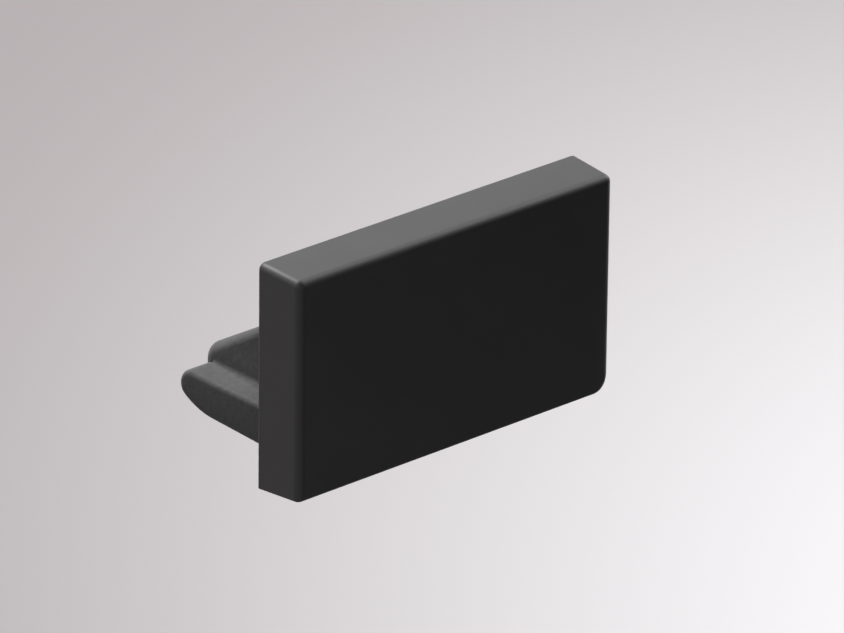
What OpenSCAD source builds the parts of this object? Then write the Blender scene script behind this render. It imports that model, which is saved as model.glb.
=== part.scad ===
// Track cover: a moulded end cap whose plug closes the open end of a lighting track.
// The plate stands upright, its front face looks towards -Y and its plug points to +Y.
// The origin is the centre of the plate's back face, which seats on the end of the track.

/* [Plate] */
// Width of the plate at its back face
plate_w = 35; // [32:0.5:50]
// Height of the plate at its back face
plate_h = 20.1; // [18:0.1:30]
// Thickness of the plate
plate_t = 4.85; // [3:0.05:8]
// Draft of the left and right sides, in degrees
side_draft = 2.5; // [0:0.1:4]
// Draft of the top and the bottom, in degrees
top_draft = 3.7; // [0:0.1:5]
// Round that leads from the front face into the top and the sides
front_round = 0.65; // [0.3:0.05:1]
// Round of the bottom edge of the front face
bottom_round = 0.15; // [0.05:0.05:0.3]
// Round of the two top corners at the back face
top_corner_r = 0.6; // [0.3:0.05:1]
// Round of the bottom left corner
plain_corner_r = 0.1; // [0.05:0.05:0.5]
// Round of the bottom right corner
key_corner_r = 1.65; // [1.2:0.05:3]
// Round of the edge of the back face
back_round = 0.2; // [0.1:0.05:0.4]

/* [Plug] */
// Length of the plug behind the plate
plug_len = 13.1; // [11:0.1:20]
// Height of the plug's underside above the bottom of the plate
plug_lift = 1.8; // [1:0.05:4]
// Width of the lower step
lower_w = 29.5; // [27:0.1:31]
// Height of the lower step
lower_h = 3.85; // [3.8:0.05:5]
// Slope of the underside, in degrees
under_slope = 2.4; // [0:0.1:3]
// Radius of the lead-in curve under the tip
lead_r = 7.4; // [3:0.1:8]
// Angle at which the lead-in curve meets the nose
lead_angle = 31; // [20:1:40]
// Radius of the nose
nose_r = 1.2; // [0.8:0.05:1.5]
// Round of the ledges at the tip
ledge_tip_r = 1.35; // [0.6:0.05:1.4]
// Round along the edges of the lower step
lower_edge_r = 0.5; // [0.2:0.05:0.9]

/* [Upper step] */
// Width of the ledge that the lower step leaves on each side
ledge_w = 2.7; // [2:0.05:4]
// Height of the ramp above the ledges, where it meets the plate
ramp_h = 8.8; // [7:0.1:10]
// Fall of the ramp towards the tip, in degrees
ramp_angle = 30.5; // [20:0.5:32]
// Round of the ramp into the end of the plug
ramp_tip_r = 1.9; // [1.2:0.1:3.5]
// Round along the edges of the upper step
upper_edge_r = 0.9; // [0.3:0.05:1.4]
// Fillet between the ledges and the upper step
ledge_fillet = 0.45; // [0.1:0.05:0.6]

/* [Hidden] */

// Thickness of the thin discs that the plate is stretched over, and the smallest radius of a round
skin = 0.01;
// Depth to which the plug reaches into the plate
root_depth = 1;
// Angle between the slices of a round
round_step = 15;
// Largest gap between an arc and the straight lines that stand for it
arc_gap = 0.005;
disc_facets = 32;

under_z = plug_lift - plate_h / 2;
ledge_z = under_z + lower_h;
ramp_z = ledge_z + ramp_h;
upper_w = lower_w - 2 * ledge_w;

// How far a round of radius r draws a wall in, at a depth behind the face that it starts from
function round_inset(depth, r) = depth < r ? r - sqrt(r * r - (r - depth) * (r - depth)) : 0;

// Each slice of the plate is [y, inset of the top and the sides, inset of the bottom]
front_slices = [for (a = [0:round_step:90])
    let (depth = front_round * (1 - cos(a)))
        [depth - plate_t, round_inset(depth, front_round), round_inset(depth, bottom_round)]];
back_slices = [for (a = [0:2 * round_step:90])
    [back_round * (sin(a) - 1), back_round * (1 - cos(a)), back_round * (1 - cos(a))]];

// Each corner of the plate is [side, upper or lower, radius]
corners = [
    [-1, 1, top_corner_r],
    [1, 1, top_corner_r],
    [-1, -1, plain_corner_r],
    [1, -1, key_corner_r],
];

function half_width(y) = plate_w / 2 + y * tan(side_draft);
function half_height(y) = plate_h / 2 + y * tan(top_draft);

// One corner of one slice, as a thin disc
module corner_disc(slice, corner, wanted_r) {
    y = slice[0];
    r = max(wanted_r - slice[1], skin);
    x = half_width(y) - slice[1] - r;
    z = half_height(y) - (corner[1] > 0 ? slice[1] : slice[2]) - r;
    translate([corner[0] * x, min(y + skin, 0), corner[1] * z])
        rotate([90, 0, 0])
            cylinder(r = r, h = skin, $fn = disc_facets);
}

module plate() {
    hull() {
        for (slice = front_slices, corner = corners) {
            corner_r = corner[1] > 0 ? max(corner[2], front_round) : corner[2];
            corner_disc(slice, corner, corner_r);
        }
        for (slice = back_slices, corner = corners) {
            corner_disc(slice, corner, corner[2]);
        }
    }
}

// Points of a convex arc in the plane of the plug's profile, as [y, z], drawn in by an inset.
// The angle is that of the surface's outward normal, from straight down towards the tip.
function arc_points(centre, r, inset, from, to) =
    let (count = ceil((to - from) / (2 * acos(1 - arc_gap / r))))
        [for (i = [0:count])
            let (a = from + i * (to - from) / count)
                centre + max(r - inset, skin) * [sin(a), -cos(a)]];

// Centre of the round that leads from a surface into the end of the plug.
// The surface is z high at the plate and falls by an angle towards the tip.
function tip_centre(z, angle, r) =
    [plug_len - r, z - (plug_len - r) * tan(angle) - r / cos(angle)];

// Centres of the arcs at the tip of the lower step
nose_y = plug_len - nose_r;
lead_start = nose_y - (lead_r - nose_r) * sin(lead_angle) + lead_r * sin(under_slope);
nose_z = under_z + lead_start * tan(under_slope) + lead_r * cos(under_slope)
    - (lead_r - nose_r) * cos(lead_angle);
nose = [nose_y, nose_z];
lead = nose - (lead_r - nose_r) * [sin(lead_angle), -cos(lead_angle)];
ledge_tip = tip_centre(ledge_z, 0, ledge_tip_r);

// Profile of the lower step as [y, z] points, drawn in by an inset all round
function lower_profile(inset) = concat(
    [[-root_depth, under_z - root_depth * tan(under_slope) + inset / cos(under_slope)]],
    arc_points(lead, lead_r, inset, under_slope, lead_angle),
    arc_points(nose, nose_r, inset, lead_angle, 90),
    arc_points(ledge_tip, ledge_tip_r, inset, 90, 180),
    [[-root_depth, ledge_z - inset]]
);

// Centre of the arc that ends the ramp
ramp_tip = tip_centre(ramp_z, ramp_angle, ramp_tip_r);

// Profile of the upper step, whose foot lies inside the lower step
function upper_profile(inset) = concat(
    [[-root_depth, nose_z], [plug_len - inset, nose_z]],
    arc_points(ramp_tip, ramp_tip_r, inset, 90, 180 - ramp_angle),
    [[-root_depth, ramp_z + root_depth * tan(ramp_angle) - inset / cos(ramp_angle)]]
);

// A profile of [y, z] points drawn out to a width
module slab(width, points) {
    rotate([90, 0, 90])
        linear_extrude(height = width, center = true)
            polygon(points);
}

// Each step is stretched over slabs: the wider a slab, the smaller its profile
round_angles = [0:round_step:90];

module lower_step() {
    hull() {
        for (a = round_angles) {
            width = lower_w - 2 * lower_edge_r * (1 - sin(a));
            slab(width, lower_profile(lower_edge_r * (1 - cos(a))));
        }
    }
}

module upper_step() {
    hull() {
        for (a = round_angles) {
            width = upper_w - 2 * upper_edge_r * (1 - sin(a));
            slab(width, upper_profile(upper_edge_r * (1 - cos(a))));
        }
    }
}

// Hollow fillet in the corner between a ledge and the side of the upper step
module ledge_fillet_strip() {
    reach = plug_len - max(ledge_tip_r, upper_edge_r);
    translate([upper_w / 2, -root_depth, ledge_z])
        rotate([-90, 0, 0])
            linear_extrude(height = root_depth + reach)
                difference() {
                    translate([-ledge_fillet, -ledge_fillet])
                        square(2 * ledge_fillet);
                    translate([ledge_fillet, -ledge_fillet])
                        circle(r = ledge_fillet, $fn = disc_facets);
                }
}

module track_cover() {
    color("#1f1f20")
        union() {
            plate();
            lower_step();
            upper_step();
            ledge_fillet_strip();
            mirror([1, 0, 0])
                ledge_fillet_strip();
        }
}

track_cover();
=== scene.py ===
import math

import bpy
from mathutils import Matrix, Vector

# Black moulded track cover, seen as in the photograph. Lengths are in metres, angles in degrees.
MILLIMETRE = 0.001

# Camera of the photograph
IMAGE_WIDTH = 844
IMAGE_HEIGHT = 633
SENSOR = 36.0
FOCAL_PIXELS = 9072.0
ORIGIN_PIXEL = (417.85, 319.5)
VIEW_AZIMUTH = -42.290
VIEW_ELEVATION = 23.934
VIEW_ROLL = 0.665
VIEW_DISTANCE = 0.7477

# Range of Y over which the plate's skin turns into the plug's
PLUG_START = (-0.4 * MILLIMETRE, 0.0)

# Moulded plastic, whose tone and roughness swing with a soft mottle
NOISE_DETAIL = 3.0
PLASTIC_DARK = (0.058, 0.058, 0.0585, 1.0)
PLASTIC_LIGHT = (0.062, 0.062, 0.0625, 1.0)
PLASTIC_SPECULAR = 0.5
MOTTLE_SIZE = 4.0 * MILLIMETRE
MOTTLE_RANGE = (0.3, 0.7)
PLATE_ROUGHNESS = 0.54
PLUG_ROUGHNESS = 0.8
ROUGHNESS_SWING = 0.03

# Fine grain all over, and coarse grain that is faint on the plate and full on the plug
FINE_SIZE = 0.12 * MILLIMETRE
FINE_DETAIL = 2.0
FINE_DEPTH = 0.001 * MILLIMETRE
COARSE_SIZE = 0.6 * MILLIMETRE
COARSE_DEPTH = 0.05 * MILLIMETRE
PLATE_COARSENESS = 0.1
PLUG_COARSENESS = 1.0

# Painted light: a paler tone painted round the corner between a ledge and the upper step, fading out
# towards the plate, as ranges of distance, |X| and Y
PAINTED_LIGHT_COLOR = (0.15, 0.15, 0.151, 1.0)
PAINTED_LIGHT_CORNER = (11.8 * MILLIMETRE, 0.0, -3.2 * MILLIMETRE)
PAINTED_LIGHT_REACH = (0.0, 5.0 * MILLIMETRE)
PAINTED_LIGHT_SIDE = (11.2 * MILLIMETRE, 12.0 * MILLIMETRE)
PAINTED_LIGHT_START = (1.5 * MILLIMETRE, 7.0 * MILLIMETRE)
PAINTED_LIGHT_PATCH_SIZE = 0.7 * MILLIMETRE
PAINTED_LIGHT_PATCH_RANGE = (0.35, 0.65)
PAINTED_LIGHT_PATCH_STRENGTH = (0.75, 1.0)

# Smooth shading of the rounds
WELD_DISTANCE = 0.001 * MILLIMETRE
SMOOTH_ANGLE = 35.0

# Floor, with a painted pool of light to the right of the object
FLOOR_DROP = 0.1
FLOOR_SIZE = 8.0
FLOOR_COLOR = (0.296, 0.27, 0.276, 1.0)
LIGHT_POOL_COLOR = (0.955, 0.955, 0.97, 1.0)
LIGHT_POOL_CENTRE = (0.15, -0.048)
LIGHT_POOL_LENGTH = 0.361
LIGHT_POOL_WIDTH = 0.226
LIGHT_POOL_TURN = 64.4

# Black card in front of the plate
CARD_COLOR = (0.015, 0.015, 0.015, 1.0)
CARD_Y = -0.05
CARD_LEFT = -0.012
CARD_RIGHT = 0.6
CARD_TOP = 0.4

# Light: each softbox is its name, azimuth, elevation and power in watts
SOFTBOXES = (
    ("back_softbox", 0.0, 40.0, 19.8),
    ("right_softbox", 90.0, 30.0, 10.2),
    ("left_softbox", -90.0, 20.0, 1.5),
)
LAMP_DISTANCE = 1.2
LAMP_SIZE = 0.5
WORLD_LIGHT = 0.0
WORLD_SEEN = 0.8

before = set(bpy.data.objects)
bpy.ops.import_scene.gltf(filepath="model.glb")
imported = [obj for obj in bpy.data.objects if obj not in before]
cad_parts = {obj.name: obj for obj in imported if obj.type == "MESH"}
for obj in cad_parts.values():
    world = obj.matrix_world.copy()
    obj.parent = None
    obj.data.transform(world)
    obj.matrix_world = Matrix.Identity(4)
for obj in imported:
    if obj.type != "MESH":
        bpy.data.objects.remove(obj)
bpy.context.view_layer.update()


def view_axes():
    """Right, up and back of the photograph's camera, with its roll."""
    azimuth = math.radians(VIEW_AZIMUTH)
    elevation = math.radians(VIEW_ELEVATION)
    roll = math.radians(VIEW_ROLL)
    back = Vector((
        math.sin(azimuth) * math.cos(elevation),
        -math.cos(azimuth) * math.cos(elevation),
        math.sin(elevation),
    ))
    right = Vector((math.cos(azimuth), math.sin(azimuth), 0.0))
    up = back.cross(right)
    rolled_right = math.cos(roll) * right + math.sin(roll) * up
    rolled_up = math.cos(roll) * up - math.sin(roll) * right
    return rolled_right, rolled_up, back


def make_camera():
    data = bpy.data.cameras.new("photo_camera")
    data.sensor_fit = "HORIZONTAL"
    data.sensor_width = SENSOR
    data.lens = SENSOR * FOCAL_PIXELS / IMAGE_WIDTH
    camera = bpy.data.objects.new("photo_camera", data)
    bpy.context.scene.collection.objects.link(camera)
    right, up, back = view_axes()
    metres_per_pixel = VIEW_DISTANCE / FOCAL_PIXELS
    aside = (IMAGE_WIDTH / 2 - ORIGIN_PIXEL[0]) * metres_per_pixel
    above = (ORIGIN_PIXEL[1] - IMAGE_HEIGHT / 2) * metres_per_pixel
    place = back * VIEW_DISTANCE + right * aside + up * above
    turn = Matrix((right, up, back)).transposed().to_4x4()
    camera.matrix_world = Matrix.Translation(place) @ turn
    bpy.context.scene.camera = camera


def new_material(name):
    material = bpy.data.materials.new(name)
    material.use_nodes = True
    material.node_tree.nodes.clear()
    return material, material.node_tree.nodes, material.node_tree.links


def noise(nodes, links, place, size, detail, name):
    """Noise whose lumps are about `size` metres across."""
    node = nodes.new("ShaderNodeTexNoise")
    node.label = name
    node.inputs["Scale"].default_value = 1.0 / size
    node.inputs["Detail"].default_value = detail
    links.new(place, node.inputs["Vector"])
    return node.outputs["Fac"]


def map_range(nodes, links, value, source, target):
    """Carries a value from one range to another and clamps it there."""
    node = nodes.new("ShaderNodeMapRange")
    node.inputs["From Min"].default_value = source[0]
    node.inputs["From Max"].default_value = source[1]
    node.inputs["To Min"].default_value = target[0]
    node.inputs["To Max"].default_value = target[1]
    links.new(value, node.inputs["Value"])
    return node.outputs["Result"]


def math_node(nodes, links, operation, *values):
    """Result of one operation on one or two values."""
    node = nodes.new("ShaderNodeMath")
    node.operation = operation
    for socket, value in zip(node.inputs, values):
        links.new(value, socket)
    return node.outputs["Value"]


def bump(nodes, links, height, distance):
    node = nodes.new("ShaderNodeBump")
    node.inputs["Distance"].default_value = distance
    links.new(height, node.inputs["Height"])
    return node


def plastic_tone(nodes, links, mottle):
    """Colour that swings between the dark and the light tone with the mottle."""
    tone = nodes.new("ShaderNodeValToRGB")
    dark, light = tone.color_ramp.elements
    dark.position, light.position = MOTTLE_RANGE
    dark.color = PLASTIC_DARK
    light.color = PLASTIC_LIGHT
    links.new(mottle, tone.inputs["Fac"])
    return tone.outputs["Color"]


def painted_light_amount(nodes, links, place, axes):
    """Amount of painted light, a paler tone in patches in the corners between the ledges and the upper
    step, away from the plate and the ramp.
    """
    side = math_node(nodes, links, "ABSOLUTE", axes.outputs["X"])
    section = nodes.new("ShaderNodeCombineXYZ")
    links.new(side, section.inputs["X"])
    links.new(axes.outputs["Z"], section.inputs["Z"])
    corner = nodes.new("ShaderNodeVectorMath")
    corner.operation = "DISTANCE"
    corner.inputs[1].default_value = PAINTED_LIGHT_CORNER
    links.new(section.outputs["Vector"], corner.inputs[0])
    near_corner = map_range(nodes, links, corner.outputs["Value"], PAINTED_LIGHT_REACH, (1.0, 0.0))
    off_plate = map_range(nodes, links, axes.outputs["Y"], PAINTED_LIGHT_START, (0.0, 1.0))
    off_ramp = map_range(nodes, links, side, PAINTED_LIGHT_SIDE, (0.0, 1.0))
    light_patches = noise(nodes, links, place, PAINTED_LIGHT_PATCH_SIZE, NOISE_DETAIL, "light_patches")
    patchy = map_range(nodes, links, light_patches, PAINTED_LIGHT_PATCH_RANGE, PAINTED_LIGHT_PATCH_STRENGTH)
    amount = near_corner
    for factor in (off_plate, off_ramp, patchy):
        amount = math_node(nodes, links, "MULTIPLY", amount, factor)
    return amount


def with_painted_light(nodes, links, tone, amount):
    """The plastic's colour with the painted light laid over it."""
    painted_light = nodes.new("ShaderNodeMix")
    painted_light.data_type = "RGBA"
    painted_light.inputs["B"].default_value = PAINTED_LIGHT_COLOR
    links.new(amount, painted_light.inputs["Factor"])
    links.new(tone, painted_light.inputs["A"])
    return painted_light.outputs["Result"]


def plastic_roughness(nodes, links, mottle, depth):
    """Roughness that rises from the plate's to the plug's and swings with the mottle."""
    dullness = map_range(nodes, links, depth, PLUG_START, (PLATE_ROUGHNESS, PLUG_ROUGHNESS))
    polish = map_range(nodes, links, mottle, MOTTLE_RANGE, (-ROUGHNESS_SWING, ROUGHNESS_SWING))
    return math_node(nodes, links, "ADD", dullness, polish)


def plastic_grain(nodes, links, place, depth):
    """Normal with the fine grain, and the coarse grain on top of it."""
    fine = noise(nodes, links, place, FINE_SIZE, FINE_DETAIL, "fine_grain")
    fine_bump = bump(nodes, links, fine, FINE_DEPTH)
    coarse = noise(nodes, links, place, COARSE_SIZE, NOISE_DETAIL, "coarse_grain")
    coarse_bump = bump(nodes, links, coarse, COARSE_DEPTH)
    strength = map_range(nodes, links, depth, PLUG_START, (PLATE_COARSENESS, PLUG_COARSENESS))
    links.new(strength, coarse_bump.inputs["Strength"])
    links.new(fine_bump.outputs["Normal"], coarse_bump.inputs["Normal"])
    return coarse_bump.outputs["Normal"]


def plastic():
    """Matt black plastic: finely grained on the plate, duller and coarser on the plug behind it."""
    material, nodes, links = new_material("black_plastic")
    place = nodes.new("ShaderNodeTexCoord").outputs["Object"]
    axes = nodes.new("ShaderNodeSeparateXYZ")
    links.new(place, axes.inputs["Vector"])
    depth = axes.outputs["Y"]
    mottle = noise(nodes, links, place, MOTTLE_SIZE, NOISE_DETAIL, "mottle")
    tone = plastic_tone(nodes, links, mottle)
    # Painted light: a paler tone painted round the corners between the ledges and the upper step
    painted_light = painted_light_amount(nodes, links, place, axes)

    shader = nodes.new("ShaderNodeBsdfPrincipled")
    shader.inputs["Specular IOR Level"].default_value = PLASTIC_SPECULAR
    links.new(with_painted_light(nodes, links, tone, painted_light), shader.inputs["Base Color"])
    links.new(plastic_roughness(nodes, links, mottle, depth), shader.inputs["Roughness"])
    links.new(plastic_grain(nodes, links, place, depth), shader.inputs["Normal"])
    output = nodes.new("ShaderNodeOutputMaterial")
    links.new(shader.outputs["BSDF"], output.inputs["Surface"])
    return material


def rounding_group():
    """Welds the facets and shades the rounds smooth, while edges sharper than SMOOTH_ANGLE stay sharp."""
    group = bpy.data.node_groups.new("smooth_rounds", "GeometryNodeTree")
    group.interface.new_socket("Geometry", in_out="INPUT", socket_type="NodeSocketGeometry")
    group.interface.new_socket("Geometry", in_out="OUTPUT", socket_type="NodeSocketGeometry")
    start = group.nodes.new("NodeGroupInput")
    weld = group.nodes.new("GeometryNodeMergeByDistance")
    weld.inputs["Distance"].default_value = WELD_DISTANCE
    faces = group.nodes.new("GeometryNodeSetShadeSmooth")
    faces.domain = "FACE"
    angle = group.nodes.new("GeometryNodeInputMeshEdgeAngle")
    sharper = group.nodes.new("FunctionNodeCompare")
    sharper.operation = "GREATER_THAN"
    sharper.inputs["B"].default_value = math.radians(SMOOTH_ANGLE)
    edges = group.nodes.new("GeometryNodeSetShadeSmooth")
    edges.domain = "EDGE"
    edges.inputs["Shade Smooth"].default_value = False
    end = group.nodes.new("NodeGroupOutput")
    group.links.new(start.outputs["Geometry"], weld.inputs["Geometry"])
    group.links.new(weld.outputs["Geometry"], faces.inputs["Geometry"])
    group.links.new(faces.outputs["Geometry"], edges.inputs["Geometry"])
    group.links.new(angle.outputs["Unsigned Angle"], sharper.inputs["A"])
    group.links.new(sharper.outputs["Result"], edges.inputs["Selection"])
    group.links.new(edges.outputs["Geometry"], end.inputs["Geometry"])
    return group


def dress_cover():
    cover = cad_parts["track_cover"]
    cover.data.materials.clear()
    cover.data.materials.append(plastic())
    rounds = cover.modifiers.new("smooth_rounds", "NODES")
    rounds.node_group = rounding_group()
    flats = cover.modifiers.new("flat_faces", "WEIGHTED_NORMAL")
    flats.mode = "FACE_AREA"
    flats.keep_sharp = True


def diffuse_material(name, color):
    material, nodes, links = new_material(name)
    shader = nodes.new("ShaderNodeBsdfDiffuse")
    output = nodes.new("ShaderNodeOutputMaterial")
    shader.inputs["Color"].default_value = color
    links.new(shader.outputs["BSDF"], output.inputs["Surface"])
    return material


def floor_material():
    """Pale sheet with one soft pool of painted light to the right of the object."""
    material, nodes, links = new_material("pale_floor")
    place = nodes.new("ShaderNodeTexCoord").outputs["Object"]
    light_pool_place = nodes.new("ShaderNodeMapping")
    light_pool_place.vector_type = "TEXTURE"
    light_pool_place.inputs["Location"].default_value = (*LIGHT_POOL_CENTRE, 0.0)
    light_pool_place.inputs["Rotation"].default_value = (0.0, 0.0, math.radians(LIGHT_POOL_TURN))
    light_pool_place.inputs["Scale"].default_value = (LIGHT_POOL_LENGTH, LIGHT_POOL_WIDTH, 1.0)
    light_pool = nodes.new("ShaderNodeTexGradient")
    light_pool.gradient_type = "SPHERICAL"
    tone = nodes.new("ShaderNodeValToRGB")
    tone.color_ramp.interpolation = "EASE"
    tone.color_ramp.elements[0].color = FLOOR_COLOR
    tone.color_ramp.elements[1].color = LIGHT_POOL_COLOR
    shader = nodes.new("ShaderNodeBsdfDiffuse")
    output = nodes.new("ShaderNodeOutputMaterial")
    links.new(place, light_pool_place.inputs["Vector"])
    links.new(light_pool_place.outputs["Vector"], light_pool.inputs["Vector"])
    links.new(light_pool.outputs["Fac"], tone.inputs["Fac"])
    links.new(tone.outputs["Color"], shader.inputs["Color"])
    links.new(shader.outputs["BSDF"], output.inputs["Surface"])
    return material


def make_sheet(name, corners, material):
    """Flat sheet with four corners."""
    mesh = bpy.data.meshes.new(name)
    mesh.from_pydata(corners, [], [(0, 1, 2, 3)])
    mesh.materials.append(material)
    sheet = bpy.data.objects.new(name, mesh)
    bpy.context.scene.collection.objects.link(sheet)
    return sheet


def make_floor():
    half = FLOOR_SIZE / 2
    corners = [(-half, -half, 0.0), (half, -half, 0.0), (half, half, 0.0), (-half, half, 0.0)]
    floor = make_sheet("floor", corners, floor_material())
    floor.location.z = -FLOOR_DROP


def make_front_card():
    """Black card that keeps bounced light and reflections off the front face; the lamps pass through it."""
    corners = [
        (CARD_LEFT, 0.0, -FLOOR_DROP),
        (CARD_RIGHT, 0.0, -FLOOR_DROP),
        (CARD_RIGHT, 0.0, CARD_TOP),
        (CARD_LEFT, 0.0, CARD_TOP),
    ]
    card = make_sheet("front_card", corners, diffuse_material("black_card", CARD_COLOR))
    card.location.y = CARD_Y
    card.visible_camera = False
    card.visible_shadow = False


def make_softbox(name, azimuth, elevation, power):
    """Square area lamp that faces the object; azimuth 0 is behind it (+Y) and 90 is to its right (+X)."""
    data = bpy.data.lights.new(name, "AREA")
    data.shape = "SQUARE"
    data.size = LAMP_SIZE
    data.energy = power
    lamp = bpy.data.objects.new(name, data)
    aside = math.radians(azimuth)
    above = math.radians(elevation)
    lamp.location = LAMP_DISTANCE * Vector((
        math.cos(above) * math.sin(aside),
        math.cos(above) * math.cos(aside),
        math.sin(above),
    ))
    lamp.rotation_euler = lamp.location.to_track_quat("Z", "Y").to_euler()
    lamp.visible_camera = False
    bpy.context.scene.collection.objects.link(lamp)


def make_world():
    """Room that gives WORLD_LIGHT to the object and shows as WORLD_SEEN, also in reflections."""
    world = bpy.data.worlds.new("studio")
    world.use_nodes = True
    nodes = world.node_tree.nodes
    links = world.node_tree.links
    nodes.clear()
    room = nodes.new("ShaderNodeBackground")
    room.inputs["Strength"].default_value = WORLD_LIGHT
    seen = nodes.new("ShaderNodeBackground")
    seen.inputs["Strength"].default_value = WORLD_SEEN
    path = nodes.new("ShaderNodeLightPath")
    seen_at_all = path.outputs["Is Camera Ray"]
    for ray in ("Is Glossy Ray", "Is Transmission Ray"):
        seen_at_all = math_node(nodes, links, "MAXIMUM", seen_at_all, path.outputs[ray])
    mix = nodes.new("ShaderNodeMixShader")
    output = nodes.new("ShaderNodeOutputWorld")
    links.new(seen_at_all, mix.inputs["Fac"])
    links.new(room.outputs["Background"], mix.inputs[1])
    links.new(seen.outputs["Background"], mix.inputs[2])
    links.new(mix.outputs["Shader"], output.inputs["Surface"])
    bpy.context.scene.world = world


make_camera()
dress_cover()
make_floor()
make_front_card()
for softbox in SOFTBOXES:
    make_softbox(*softbox)
make_world()
bpy.context.scene.view_settings.view_transform = "Standard"
